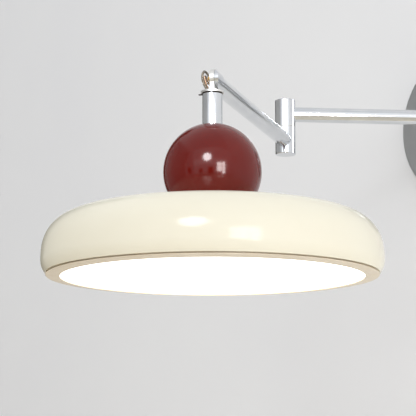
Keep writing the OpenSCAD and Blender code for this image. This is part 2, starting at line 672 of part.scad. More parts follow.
// Shade
function side_points(wall, n) = [for (i = [0:n]) let (a = 90 * i / n)
    [shoulder_r + (shade_side_w - wall) * pow(cos(a), 2 / side_power),
     shade_waist_z + (shade_shoulder_z - shade_waist_z - wall) * pow(sin(a), 2 / side_power)]];
function tuck_points(wall, n) = [for (i = [0:n - 1])
    [shade_r - wall - shade_tuck * pow(1 - i / n, edge_power),
     shade_edge_z + (shade_waist_z - shade_edge_z) * i / n]];
function crown_points(wall, n) = [for (i = [1:n]) let (r = shoulder_r + (seat_r - shoulder_r) * i / n)
    [r, crown_z(r) - wall]];
function reversed(p) = [for (i = [len(p) - 1:-1:0]) p[i]];
module shade_shell() color(cream) light_frame() rotate_extrude($fn = 128) polygon(concat(
    tuck_points(0, 5), side_points(0, 16), crown_points(0, 5),
    [[(rod_d + hole_clear) / 2, seat_z], [(rod_d + hole_clear) / 2, seat_z - shade_wall]],
    reversed(crown_points(shade_wall, 5)), reversed(side_points(shade_wall, 16)),
    reversed(tuck_points(shade_wall, 5))));
module cross_bar() color(steel) light_frame() difference() {
    union() {
        translate([-bar_half, -bar_w / 2, bar_top_z - bar_t]) cube([2 * bar_half, bar_w, bar_t]);
        for (s = [0, 1]) mirror([s, 0, 0]) {
            translate([bar_half - bar_t, -bar_w / 2, carrier_z + carrier_t])
                cube([bar_t, bar_w, bar_top_z - carrier_z - carrier_t]);
            translate([bar_half - bar_t, -bar_w / 2, carrier_z + carrier_t]) cube([bar_foot, bar_w, bar_t]);
        }
    }
    translate([0, 0, bar_top_z - bar_t - 1]) cylinder(d = rod_d + hole_clear, h = bar_t + 2);
    for (s = [-1, 1]) translate([s * (bar_half + bar_foot / 2), 0, carrier_z])
        cylinder(d = screw_m4, h = 4 * bar_t);
}
module rod_nut() color(nickel) light_frame() translate([0, 0, bar_top_z - bar_t - rod_nut_t])
    hex_nut(rod_nut_af, rod_d / 2, rod_nut_t);

// Light unit
module carrier_plate() color("#c4c6c8") light_frame() difference() {
    translate([0, 0, carrier_z]) rotate_extrude($fn = 128) {
        square([carrier_d / 2, carrier_t]);
        translate([carrier_d / 2 - carrier_t, 0]) square([carrier_t, carrier_rim]);
    }
    for (s = [-1, 1]) {
        translate([s * (bar_half + bar_foot / 2), 0, carrier_z - 1])
            cylinder(d = screw_m4, h = carrier_t + 2);
        translate([s * (driver_l / 2 + driver_ear / 2), driver_y + driver_w / 2, carrier_z - 1])
            cylinder(d = screw_m3, h = carrier_t + 2);
    }
    board_hole();
}
module board_hole() translate([board_hole_x, driver_y + driver_w / 2, carrier_z - 1])
    cylinder(d = board_hole_d, h = carrier_t + 2);
module carrier_screws() color(nickel) light_frame() for (s = [-1, 1])
    translate([s * (bar_half + bar_foot / 2), 0, carrier_z])
        pan_screw(screw_m4, carrier_t + bar_t, carrier_head_d, carrier_head_h);
module led_board() color("#f4f4f0") light_frame() translate([0, 0, carrier_z - board_t])
    cylinder(d = board_d, h = board_t);
module led_chips() color("#f2e27a") light_frame() for (row = chip_rings) for (i = [0:row[1] - 1])
    rotate([0, 0, 360 * i / row[1]])
        translate([row[0] - chip_l / 2, -chip_w / 2, carrier_z - board_t - chip_t])
            cube([chip_l, chip_w, chip_t]);
module led_driver() color("#e4e4e2") light_frame() translate([0, 0, carrier_z + carrier_t]) difference() {
    union() {
        translate([-driver_l / 2, driver_y, 0]) cube([driver_l, driver_w, driver_h]);
        translate([-driver_l / 2 - driver_ear, driver_y + (driver_w - driver_ear_w) / 2, 0])
            cube([driver_l + 2 * driver_ear, driver_ear_w, driver_ear_t]);
    }
    for (s = [-1, 1]) translate([s * (driver_l / 2 + driver_ear / 2), driver_y + driver_w / 2, -1])
        cylinder(d = screw_m3, h = driver_ear_t + 2);
}
module driver_screws() color(nickel) light_frame() for (s = [-1, 1])
    translate([s * (driver_l / 2 + driver_ear / 2), driver_y + driver_w / 2, carrier_z])
        pan_screw(screw_m3, carrier_t + driver_ear_t, driver_head_d, driver_head_h);
module head_leads() color(brass) light_frame() {
    start_z = neck_top_z + tab_t - stem_len;
    lead_pair(smooth([[0, 0, start_z], [0, 0, ball_top_z], [0, 0, ball_z], [0, 0, rod_bottom_z + 6],
        [0, 0.6, rod_bottom_z - 2], [-3, 5, driver_lead_z + 9], [-9, 11, driver_lead_z + 3],
        [-12, driver_y - 5, driver_lead_z], [-12, driver_y - 2, driver_lead_z],
        [-12, driver_y, driver_lead_z]], 3), [90, 90]);
}
module board_leads() color(brass) light_frame() {
    y = driver_y + driver_w / 2;
    x = driver_l / 2;
    lead_pair(smooth([[x, y, driver_lead_z], [x + 2, y, driver_lead_z], [x + 5, y, driver_lead_z],
        [board_hole_x - 2, y, driver_lead_z - 2.6], [board_hole_x, y, driver_lead_z - 7],
        [board_hole_x, y, carrier_z + 2], [board_hole_x, y, carrier_z]], 3), [0, 0], [0, 1, 0]);
}
module diffuser() color("#fffef8") light_frame() translate([0, 0, ledge_z])
    cylinder(r = bezel_r + ledge_w - diffuser_clear, h = diffuser_t, $fn = 128);
module bezel_ring() color("#d9d0bd") light_frame() rotate_extrude($fn = 128) polygon([
    [bezel_r, 0], [bezel_out_r, bezel_slope_z], [bezel_out_r, shade_edge_z], [upstand_r, shade_edge_z],
    [upstand_r, shade_edge_z + bead_z], [upstand_r + bead_out, shade_edge_z + bead_z + bead_out],
    [upstand_r + bead_out, shade_edge_z + bead_z + bead_out + bead_h],
    [upstand_r, shade_edge_z + bead_z + 2 * bead_out + bead_h], [upstand_r, upstand_h],
    [upstand_r - upstand_t, upstand_h], [upstand_r - upstand_t, bezel_top_z],
    [bezel_r + ledge_w, bezel_top_z], [bezel_r + ledge_w, ledge_z], [bezel_r, ledge_z]]);
module diffuser_clips() color(steel) light_frame() for (i = [0:5]) rotate([0, 0, 60 * i + 30])
    translate([bezel_r + clip_inset, -clip_w / 2, bezel_top_z]) cube([clip_l, clip_w, clip_t]);

wall_bracket();
wall_plate();
plate_screws();
terminal_block();
block_screw();
terminal_screws();
cord_grommet();
wall_fork();
fork_washer();
fork_nut();
wall_pivot_screws();
wall_pivot_washers();
wall_leads();
arm1_rear_barrel();
arm1_tube();
elbow_upper_barrel();
elbow_top_cap();
arm1_leads();
elbow_friction_washer();
elbow_lower_barrel();
elbow_bottom_cap();
elbow_hollow_pin();
elbow_upper_nut();
elbow_lower_nut();
elbow_spring_washer();
arm2_tube();
knuckle_lug();
arm2_leads();
knuckle_leads();
knuckle_yoke();
knuckle_screw();
knuckle_washer();
tab_washer();
stem_nut();
neck_tube();
neck_collar();
neck_foot();
center_rod();
ball_shell();
shade_shell();
cross_bar();
rod_nut();
carrier_plate();
carrier_screws();
led_board();
led_chips();
led_driver();
driver_screws();
head_leads();
board_leads();
diffuser();
bezel_ring();
diffuser_clips();
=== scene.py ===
import json
import math

import bmesh
import bpy
from mathutils import Matrix, Vector


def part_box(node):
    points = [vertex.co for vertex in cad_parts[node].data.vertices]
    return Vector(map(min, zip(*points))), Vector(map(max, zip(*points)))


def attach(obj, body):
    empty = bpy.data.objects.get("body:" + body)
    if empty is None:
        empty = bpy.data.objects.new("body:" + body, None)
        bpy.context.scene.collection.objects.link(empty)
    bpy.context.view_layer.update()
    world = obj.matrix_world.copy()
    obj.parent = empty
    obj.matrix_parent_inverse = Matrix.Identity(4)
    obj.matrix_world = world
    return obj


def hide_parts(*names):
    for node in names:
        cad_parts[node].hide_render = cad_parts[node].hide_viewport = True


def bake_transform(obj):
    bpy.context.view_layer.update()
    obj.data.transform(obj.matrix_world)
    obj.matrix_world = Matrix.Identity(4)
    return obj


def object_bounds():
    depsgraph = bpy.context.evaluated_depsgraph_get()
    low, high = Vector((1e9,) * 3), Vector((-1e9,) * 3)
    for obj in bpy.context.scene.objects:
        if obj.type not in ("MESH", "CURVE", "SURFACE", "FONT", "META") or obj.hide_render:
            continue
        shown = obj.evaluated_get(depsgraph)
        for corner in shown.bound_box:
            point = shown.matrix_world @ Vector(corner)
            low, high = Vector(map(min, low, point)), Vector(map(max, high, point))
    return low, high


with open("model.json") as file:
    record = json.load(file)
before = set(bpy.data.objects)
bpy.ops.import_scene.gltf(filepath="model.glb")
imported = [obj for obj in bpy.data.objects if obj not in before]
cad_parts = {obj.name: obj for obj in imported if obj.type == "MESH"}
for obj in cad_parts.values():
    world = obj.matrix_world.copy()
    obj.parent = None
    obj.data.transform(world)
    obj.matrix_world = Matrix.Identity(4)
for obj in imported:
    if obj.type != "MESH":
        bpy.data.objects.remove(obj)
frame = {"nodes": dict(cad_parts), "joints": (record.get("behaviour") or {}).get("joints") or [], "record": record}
cad_low, cad_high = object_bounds()
JOINTS = {joint["name"]: joint for joint in frame["joints"]}
MM = 0.001
MICRON = 0.000001


def joint_point(name):
    """Where a joint's axis lies at rest."""
    return Vector(JOINTS[name]["pos_m"])


# Key points of the lamp, from the frame
ELBOW = joint_point("elbow_swivel")
HEAD_PIVOT = joint_point("head_swivel")
RING_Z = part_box("bezel_ring")[0].z
HEAD_AXIS = Vector((HEAD_PIVOT.x, HEAD_PIVOT.y, RING_Z))

# Camera, placed from the head's axis and the light ring's lowest edge
CAMERA_OFFSET = Vector((0.99384, -0.70070, -0.15374))
CAMERA_PITCH = math.radians(10.084)
CAMERA_YAW = math.radians(55)
CAMERA_LENS = 121.15
SENSOR_WIDTH = 36
CLIP_START = 0.05
CLIP_END = 50


def make_camera():
    """A long lens a little under the lamp, looking up at it."""
    data = bpy.data.cameras.new("camera")
    data.lens = CAMERA_LENS
    data.sensor_width = SENSOR_WIDTH
    data.clip_start = CLIP_START
    data.clip_end = CLIP_END
    camera = bpy.data.objects.new("camera", data)
    camera.location = HEAD_AXIS + CAMERA_OFFSET
    camera.rotation_euler = (math.pi / 2 + CAMERA_PITCH, 0, CAMERA_YAW)
    bpy.context.scene.collection.objects.link(camera)
    bpy.context.scene.camera = camera
    bpy.context.view_layer.update()
    return camera


camera = make_camera()
bpy.context.scene.view_settings.view_transform = "Standard"


# Colours are written as they look on a screen and turned into linear values here
def linear(colour):
    """A screen colour as linear light."""
    return tuple(c / 12.92 if c <= 0.04045 else ((c + 0.055) / 1.055) ** 2.4 for c in colour)


def rgb(r, g, b):
    """A screen colour from values of 0 to 255."""
    return (r / 255, g / 255, b / 255)


# The middle of a noise, which is spread over a range of colours or roughnesses
NOISE_LOW = 0.3
NOISE_HIGH = 0.7


class Material:
    """A Principled material with procedural detail in the object's own coordinates."""

    def __init__(self, name, colour, metallic=0.0, roughness=0.4, **sockets):
        self.mat = bpy.data.materials.new(name)
        self.mat.use_nodes = True
        self.nodes = self.mat.node_tree.nodes
        self.links = self.mat.node_tree.links
        self.shader = self.nodes["Principled BSDF"]
        self.colour = colour
        self.shader.inputs["Base Color"].default_value = (*linear(colour), 1)
        self.shader.inputs["Metallic"].default_value = metallic
        self.shader.inputs["Roughness"].default_value = roughness
        for socket, value in sockets.items():
            self.shader.inputs[socket.replace("_", " ")].default_value = value
        self.coords = self.nodes.new("ShaderNodeTexCoord")

    def noise(self, scale, detail=3.0, stretch=(1, 1, 1)):
        """A noise pattern on the piece's own coordinates."""
        mapping = self.nodes.new("ShaderNodeMapping")
        mapping.inputs["Scale"].default_value = stretch
        texture = self.nodes.new("ShaderNodeTexNoise")
        texture.inputs["Scale"].default_value = scale
        texture.inputs["Detail"].default_value = detail
        texture.inputs["Roughness"].default_value = 0.5
        self.links.new(self.coords.outputs["Object"], mapping.inputs["Vector"])
        self.links.new(mapping.outputs["Vector"], texture.inputs["Vector"])
        return texture.outputs["Fac"]

    def spread(self, source, low, high):
        """Maps the middle of a noise to the range low to high."""
        ranged = self.nodes.new("ShaderNodeMapRange")
        ranged.inputs["From Min"].default_value = NOISE_LOW
        ranged.inputs["From Max"].default_value = NOISE_HIGH
        ranged.inputs["To Min"].default_value = low
        ranged.inputs["To Max"].default_value = high
        self.links.new(source, ranged.inputs["Value"])
        return ranged.outputs["Result"]

    def mottle(self, other, scale, detail=3.0, stretch=(1, 1, 1)):
        """Varies the colour softly towards another colour."""
        mix = self.nodes.new("ShaderNodeMix")
        mix.data_type = "RGBA"
        mix.inputs["A"].default_value = (*linear(self.colour), 1)
        mix.inputs["B"].default_value = (*linear(other), 1)
        self.links.new(self.spread(self.noise(scale, detail, stretch), 0, 1), mix.inputs["Factor"])
        self.links.new(mix.outputs["Result"], self.shader.inputs["Base Color"])
        return self

    def polish(self, low, high, scale, detail=4.0, stretch=(1, 1, 1)):
        """Varies the roughness between two values."""
        value = self.spread(self.noise(scale, detail, stretch), low, high)
        self.links.new(value, self.shader.inputs["Roughness"])
        return self

    def bump(self, scale, depth, detail=2.0, stretch=(1, 1, 1)):
        """Adds a fine relief, its depth in metres."""
        node = self.nodes.new("ShaderNodeBump")
        node.inputs["Strength"].default_value = 1.0
        node.inputs["Distance"].default_value = depth
        self.links.new(self.noise(scale, detail, stretch), node.inputs["Height"])
        self.links.new(node.outputs["Normal"], self.shader.inputs["Normal"])
        return self


def chrome_plate():
    return (Material("chrome_plate", rgb(226, 228, 230), metallic=1.0, roughness=0.12)
            .mottle(rgb(216, 219, 223), scale=35)
            .polish(0.07, 0.15, scale=55)
            .bump(scale=420, depth=4 * MICRON, detail=3).mat)


def satin_chrome():
    return (Material("satin_chrome", rgb(206, 208, 209), metallic=1.0, roughness=0.3)
            .mottle(rgb(199, 201, 203), scale=30)
            .polish(0.28, 0.33, scale=45)
            .bump(scale=380, depth=3 * MICRON, detail=3).mat)


def soft_chrome():
    return (Material("soft_chrome", rgb(234, 233, 230), metallic=1.0, roughness=0.34)
            .mottle(rgb(224, 223, 220), scale=120)
            .polish(0.3, 0.42, scale=150)
            .bump(scale=700, depth=6 * MICRON, detail=3).mat)


def nickel_steel():
    return (Material("nickel_steel", rgb(206, 202, 194), metallic=1.0, roughness=0.25)
            .mottle(rgb(190, 187, 180), scale=90)
            .polish(0.18, 0.34, scale=160)
            .bump(scale=900, depth=8 * MICRON).mat)


def zinc_steel():
    return (Material("zinc_steel", rgb(186, 190, 194), metallic=1.0, roughness=0.38)
            .mottle(rgb(160, 166, 174), scale=60, detail=6)
            .polish(0.28, 0.5, scale=120)
            .bump(scale=700, depth=10 * MICRON).mat)


def brass():
    return (Material("brass", rgb(206, 168, 96), metallic=1.0, roughness=0.24)
            .mottle(rgb(172, 132, 70), scale=260)
            .polish(0.16, 0.34, scale=300)
            .bump(scale=1400, depth=6 * MICRON).mat)


def cream_enamel():
    return (Material("cream_enamel", rgb(239, 235, 218), metallic=0.0, roughness=0.1,
                     Specular_IOR_Level=0.12)
            .mottle(rgb(237, 232, 214), scale=14)
            .polish(0.08, 0.13, scale=22)
            .bump(scale=170, depth=12 * MICRON, detail=1.0).mat)


def burgundy_enamel():
    return (Material("burgundy_enamel", rgb(110, 22, 13), metallic=0.0, roughness=0.12,
                     Specular_IOR_Level=0.36)
            .mottle(rgb(104, 19, 11), scale=24)
            .polish(0.1, 0.16, scale=40)
            .bump(scale=260, depth=6 * MICRON, detail=1.0).mat)


def beige_ring():
    return (Material("beige_ring", rgb(236, 224, 203), metallic=0.0, roughness=0.38)
            .mottle(rgb(231, 218, 196), scale=30)
            .polish(0.32, 0.46, scale=60)
            .bump(scale=500, depth=10 * MICRON).mat)


def opal_diffuser():
    return (Material("opal_diffuser", rgb(250, 250, 247), metallic=0.0, roughness=0.45,
                     Emission_Color=(1, 0.99, 0.96, 1), Emission_Strength=1.8)
            .mottle(rgb(246, 246, 241), scale=20)
            .polish(0.4, 0.5, scale=80)
            .bump(scale=900, depth=5 * MICRON).mat)


def aluminium_plate():
    return (Material("aluminium_plate", rgb(214, 216, 217), metallic=1.0, roughness=0.35)
            .mottle(rgb(200, 203, 205), scale=40, detail=4, stretch=(1, 12, 1))
            .polish(0.28, 0.44, scale=60, detail=4, stretch=(1, 14, 1))
            .bump(scale=300, depth=10 * MICRON, detail=3, stretch=(1, 20, 1)).mat)


def white_plastic():
    return (Material("white_plastic", rgb(236, 236, 232), metallic=0.0, roughness=0.42)
            .mottle(rgb(228, 228, 224), scale=120)
            .polish(0.36, 0.5, scale=200)
            .bump(scale=1600, depth=20 * MICRON).mat)


def nylon():
    return (Material("nylon", rgb(232, 230, 220), metallic=0.0, roughness=0.5)
            .mottle(rgb(222, 219, 207), scale=200)
            .polish(0.42, 0.58, scale=240)
            .bump(scale=1500, depth=10 * MICRON).mat)


def black_rubber():
    return (Material("black_rubber", rgb(38, 38, 38), metallic=0.0, roughness=0.6)
            .mottle(rgb(48, 47, 46), scale=150)
            .polish(0.5, 0.72, scale=220)
            .bump(scale=1800, depth=20 * MICRON).mat)


def dark_steel():
    return (Material("dark_steel", rgb(58, 54, 52), metallic=0.0, roughness=0.75,
                     Specular_IOR_Level=0.08)
            .mottle(rgb(74, 66, 60), scale=320)
            .polish(0.66, 0.8, scale=300)
            .bump(scale=1500, depth=10 * MICRON).mat)


def led_yellow():
    return (Material("led_yellow", rgb(240, 220, 110), metallic=0.0, roughness=0.35)
            .mottle(rgb(246, 232, 150), scale=400)
            .polish(0.28, 0.42, scale=300)
            .bump(scale=2000, depth=10 * MICRON).mat)


def clear_lead():
    return (Material("clear_lead", rgb(214, 160, 124), metallic=0.0, roughness=0.18,
                     Coat_Weight=0.6, Coat_Roughness=0.05)
            .mottle(rgb(180, 118, 82), scale=900, detail=2)
            .polish(0.12, 0.26, scale=400)
            .bump(scale=1200, depth=10 * MICRON).mat)


# Painted shade for the clear sleeves: a dark grey glossy layer that is mixed in towards each sleeve's outline,
# where its surface turns away from view
SLEEVE_EDGE_SHADE_COLOUR = rgb(96, 98, 100)
SLEEVE_EDGE_SHADE_ROUGHNESS = 0.12
SLEEVE_EDGE_SHADE_WIDTH = 0.35


def clear_sleeve():
    """A clear sleeve: glassy in the middle, with painted dark shade mixed in where it turns away, for its outline.
    """
    sleeve = (Material("clear_sleeve", rgb(250, 248, 244), metallic=0.0, roughness=0.06,
                       Transmission_Weight=1.0, IOR=1.3)
              .mottle(rgb(244, 240, 232), scale=700)
              .polish(0.04, 0.12, scale=500)
              .bump(scale=1300, depth=5 * MICRON))
    # Painted shade at the outline: this dark grey layer takes over where the sleeve turns away from view
    painted_edge_shade = sleeve.nodes.new("ShaderNodeBsdfPrincipled")
    painted_edge_shade.inputs["Base Color"].default_value = (*linear(SLEEVE_EDGE_SHADE_COLOUR), 1)
    painted_edge_shade.inputs["Roughness"].default_value = SLEEVE_EDGE_SHADE_ROUGHNESS
    facing = sleeve.nodes.new("ShaderNodeLayerWeight")
    facing.inputs["Blend"].default_value = SLEEVE_EDGE_SHADE_WIDTH
    mix = sleeve.nodes.new("ShaderNodeMixShader")
    sleeve.links.new(facing.outputs["Facing"], mix.inputs["Fac"])
    sleeve.links.new(sleeve.shader.outputs["BSDF"], mix.inputs[1])
    sleeve.links.new(painted_edge_shade.outputs["BSDF"], mix.inputs[2])
    sleeve.links.new(mix.outputs["Shader"], sleeve.nodes["Material Output"].inputs["Surface"])
    return sleeve.mat


def copper_strand():
    return (Material("copper_strand", rgb(228, 200, 174), metallic=1.0, roughness=0.32)
            .mottle(rgb(196, 158, 128), scale=700)
            .polish(0.24, 0.42, scale=500)
            .bump(scale=3000, depth=10 * MICRON).mat)


def tinned_strand():
    return (Material("tinned_strand", rgb(198, 190, 178), metallic=1.0, roughness=0.34)
            .mottle(rgb(150, 136, 120), scale=700)
            .polish(0.26, 0.44, scale=500)
            .bump(scale=3000, depth=10 * MICRON).mat)


FINISHES = {
    "chrome_plate": chrome_plate(),
    "nickel_steel": nickel_steel(),
    "zinc_steel": zinc_steel(),
    "brass": brass(),
    "cream_enamel": cream_enamel(),
    "burgundy_enamel": burgundy_enamel(),
    "beige_ring": beige_ring(),
    "opal_diffuser": opal_diffuser(),
    "aluminium_plate": aluminium_plate(),
    "white_plastic": white_plastic(),
    "nylon": nylon(),
    "black_rubber": black_rubber(),
    "dark_steel": dark_steel(),
    "led_yellow": led_yellow(),
    "clear_lead": clear_lead(),
}
SLOT_OF = {part["node"]: part["material_slot"] for part in frame["record"]["subparts"]}


def finish_nodes():
    """Every CAD node takes the finish of its own slot."""
    for name, node in frame["nodes"].items():
        node.data.materials.clear()
        node.data.materials.append(FINISHES[SLOT_OF[name]])
    frame["nodes"]["wall_plate"].data.materials[0] = satin_chrome()
    frame["nodes"]["knuckle_yoke"].data.materials[0] = soft_chrome()


finish_nodes()


# Mesh helpers
SAME_POINT = 0.1 * MICRON
SHARP_ANGLE = math.radians(35)


def new_object(name, mesh, finish):
    """A new piece in the scene with one material."""
    mesh.materials.append(finish)
    thing = bpy.data.objects.new(name, mesh)
    bpy.context.scene.collection.objects.link(thing)
    return thing


def finish_mesh(bm, name):
    """Cleans a built form and smooths it, with its real edges kept sharp."""
    bmesh.ops.remove_doubles(bm, verts=bm.verts, dist=SAME_POINT)
    bmesh.ops.recalc_face_normals(bm, faces=bm.faces)
    mesh = bpy.data.meshes.new(name)
    bm.to_mesh(mesh)
    bm.free()
    mesh.shade_smooth()
    mesh.set_sharp_from_angle(angle=SHARP_ANGLE)
    return mesh


def join_rings(bm, rings, loop):
    """Skins rings of points; a ring of one point closes to a tip, and loop joins last to first."""
    pairs = list(zip(rings, rings[1:]))
    if loop:
        pairs.append((rings[-1], rings[0]))
    for a, b in pairs:
        count = max(len(a), len(b))
        for i in range(count):
            corners = [a[i % len(a)], a[(i + 1) % len(a)], b[(i + 1) % len(b)], b[i % len(b)]]
            corners = list(dict.fromkeys(corners))
            if len(corners) > 2:
                bm.faces.new(corners)


def lathe(name, profile, place, finish, segments):
    """Turns a closed profile of (radius, height) points round the Z axis of place."""
    bm = bmesh.new()
    rings = []
    for r, z in profile:
        steps = segments if r > MICRON else 1
        rings.append([bm.verts.new(place @ Vector((r * math.cos(2 * math.pi * i / steps),
                                                    r * math.sin(2 * math.pi * i / steps), z)))
                      for i in range(steps)])
    join_rings(bm, rings, True)
    return new_object(name, finish_mesh(bm, name), finish)


def rounded(points, steps=5):
    """Rounds each corner (x, y, radius) of a closed outline with a short curve."""
    out = []
    for i, (x, y, radius) in enumerate(points):
        corner = Vector((x, y))
        if radius <= 0:
            out.append(corner)
            continue
        before = (Vector(points[i - 1][:2]) - corner).normalized() * radius
        after = (Vector(points[(i + 1) % len(points)][:2]) - corner).normalized() * radius
        for k in range(steps + 1):
            t = k / steps
            out.append(corner + before * (1 - t) ** 2 + after * t ** 2)
    return [(p.x, p.y) for p in out]


def stand(piece, body, slot, *nodes):
    """Lets a piece ride on its body in the place of the CAD nodes."""
    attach(piece, body)
    if nodes:
        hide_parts(*nodes)
    return piece


# Shade: the same driving sizes as the CAD solid, turned as one smooth skin
SHADE_R = 150 * MM
SHADE_EDGE_R = 146 * MM
SHADE_WALL = 1.2 * MM
SHADE_EDGE_Z = 2.9 * MM
SHADE_WAIST_Z = 15 * MM
SHADE_SHOULDER_Z = 56.8 * MM
SHADE_SIDE_W = 45.5 * MM
CROWN_RISE = 4 * MM
SIDE_POWER = 2.45
EDGE_POWER = 2.3
ROD_HOLE_R = 5.1 * MM
SEAT_R = 31.7 * MM
SHOULDER_R = SHADE_R - SHADE_SIDE_W
WIDE_SEGMENTS = 256
BALL_SEGMENTS = 160
NECK_SEGMENTS = 128


def crown_height(r):
    """Height of the shade's crown at a distance from its axis."""
    return SHADE_SHOULDER_Z + CROWN_RISE * (1 - (r / SHOULDER_R) ** 2) ** 2


def shade_outline(wall, tuck_steps=12, side_steps=64, crown_steps=16):
    """Points up the shade's side and over its crown, wall inside the outer face."""
    points = []
    for i in range(tuck_steps):
        share = i / tuck_steps
        r = SHADE_R - wall - (SHADE_R - SHADE_EDGE_R) * (1 - share) ** EDGE_POWER
        points.append((r, SHADE_EDGE_Z + (SHADE_WAIST_Z - SHADE_EDGE_Z) * share))
    for i in range(side_steps + 1):
        angle = math.pi / 2 * i / side_steps
        points.append((SHOULDER_R + (SHADE_SIDE_W - wall) * math.cos(angle) ** (2 / SIDE_POWER),
                       SHADE_WAIST_Z + (SHADE_SHOULDER_Z - SHADE_WAIST_Z - wall)
                       * math.sin(angle) ** (2 / SIDE_POWER)))
    for i in range(1, crown_steps + 1):
        r = SHOULDER_R + (SEAT_R - SHOULDER_R) * i / crown_steps
        points.append((r, crown_height(r) - wall))
    return points


def make_shade():
    """The dome with its wall, its crown and the hole for the rod."""
    seat_z = crown_height(SEAT_R)
    profile = shade_outline(0) + [(ROD_HOLE_R, seat_z), (ROD_HOLE_R, seat_z - SHADE_WALL)]
    profile += reversed(shade_outline(SHADE_WALL))
    shade = lathe("shade", profile, Matrix.Translation(HEAD_AXIS), FINISHES["cream_enamel"],
                  WIDE_SEGMENTS)
    return stand(shade, "head", "cream_enamel", "shade_shell")


# Ball: a smooth shell with a flat seat for the neck
BALL_R = 43.75 * MM
BALL_WALL = 1.2 * MM
BALL_FOOT_R = 26.7 * MM
BALL_FLAT_R = 9.4 * MM
BALL_STEPS = 72


def make_ball():
    """The ball's shell, open below where it stands on the shade and drilled for the rod."""
    seat_z = crown_height(SEAT_R)
    center_z = seat_z + math.sqrt(BALL_R ** 2 - BALL_FOOT_R ** 2)
    top_z = center_z + math.sqrt(BALL_R ** 2 - BALL_FLAT_R ** 2)
    inner_r = BALL_R - BALL_WALL
    inner_top = top_z - BALL_WALL
    low = math.asin((seat_z - center_z) / BALL_R)
    high = math.asin((top_z - center_z) / BALL_R)
    inner_low = math.asin((seat_z - center_z) / inner_r)
    inner_high = math.asin((inner_top - center_z) / inner_r)

    def arc(r, a, b):
        angles = [a + (b - a) * i / BALL_STEPS for i in range(BALL_STEPS + 1)]
        return [(r * math.cos(t), center_z + r * math.sin(t)) for t in angles]

    profile = arc(BALL_R, low, high) + [(ROD_HOLE_R, top_z), (ROD_HOLE_R, inner_top)]
    profile += arc(inner_r, inner_high, inner_low)
    ball = lathe("ball", profile, Matrix.Translation(HEAD_AXIS), FINISHES["burgundy_enamel"],
                 BALL_SEGMENTS)
    return stand(ball, "head", "burgundy_enamel", "ball_shell")


# Light ring and opal panel; the ring's rim is set back under the shade's lip as a shadow line
RING_IN_R = 133 * MM
RING_RIM_R = 145.9 * MM
RING_GROOVE_R = 141.6 * MM
RING_RIM_Z = 1.45 * MM
RING_LEDGE_W = 3 * MM
RING_LEDGE_Z = 1.2 * MM
PANEL_T = 3 * MM
PANEL_CLEAR = 0.2 * MM
UPSTAND_R = 144.3 * MM
UPSTAND_T = 1.4 * MM
UPSTAND_H = 9 * MM
RING_SETBACK = 0.6 * MM
FINE_ROUND = 0.2 * MM
EDGE_ROUND = 0.3 * MM
RIM_ROUND = 0.4 * MM


def make_light_ring():
    """The bevelled ring: a sloping face, a groove under the shade's lip and an upstand inside."""
    lip_r = RING_RIM_R - RING_SETBACK
    panel_top = RING_LEDGE_Z + PANEL_T
    ledge_r = RING_IN_R + RING_LEDGE_W
    upstand_in_r = UPSTAND_R - UPSTAND_T
    profile = rounded([(RING_IN_R, 0, EDGE_ROUND), (lip_r, RING_RIM_Z - FINE_ROUND, FINE_ROUND),
                       (lip_r, RING_RIM_Z + FINE_ROUND, FINE_ROUND),
                       (RING_GROOVE_R, RING_RIM_Z + FINE_ROUND, FINE_ROUND),
                       (RING_GROOVE_R, SHADE_EDGE_Z, 0), (UPSTAND_R, SHADE_EDGE_Z, 0),
                       (UPSTAND_R, UPSTAND_H, FINE_ROUND), (upstand_in_r, UPSTAND_H, FINE_ROUND),
                       (upstand_in_r, panel_top, 0), (ledge_r, panel_top, FINE_ROUND),
                       (ledge_r, RING_LEDGE_Z, 0), (RING_IN_R, RING_LEDGE_Z, FINE_ROUND)])
    ring = lathe("light_ring", profile, Matrix.Translation(HEAD_AXIS), FINISHES["beige_ring"],
                 WIDE_SEGMENTS)
    return stand(ring, "head", "beige_ring", "bezel_ring")


def make_panel():
    """The opal panel that lies on the ring's ledge."""
    radius = RING_IN_R + RING_LEDGE_W - PANEL_CLEAR
    profile = rounded([(0, RING_LEDGE_Z, 0), (radius, RING_LEDGE_Z, EDGE_ROUND),
                       (radius, RING_LEDGE_Z + PANEL_T, EDGE_ROUND), (0, RING_LEDGE_Z + PANEL_T, 0)])
    panel = lathe("opal_panel", profile, Matrix.Translation(HEAD_AXIS), FINISHES["opal_diffuser"],
                  WIDE_SEGMENTS)
    return stand(panel, "head", "opal_diffuser", "diffuser")


# Neck tube with a softened rim
NECK_R = 9 * MM
NECK_IN_R = 7.8 * MM
NECK_LEN = 28.3 * MM


def make_neck():
    """The neck's tube, which stands on the ball's flat."""
    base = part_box("neck_tube")[0].z
    place = Matrix.Translation((HEAD_AXIS.x, HEAD_AXIS.y, base))
    profile = rounded([(NECK_R, 0, FINE_ROUND), (NECK_R, NECK_LEN, RIM_ROUND),
                       (NECK_IN_R, NECK_LEN, FINE_ROUND), (NECK_IN_R, 0, FINE_ROUND)])
    neck = lathe("neck", profile, place, FINISHES["chrome_plate"], NECK_SEGMENTS)
    return stand(neck, "head", "chrome_plate", "neck_tube")


make_shade()
make_ball()
make_light_ring()
make_panel()
make_neck()


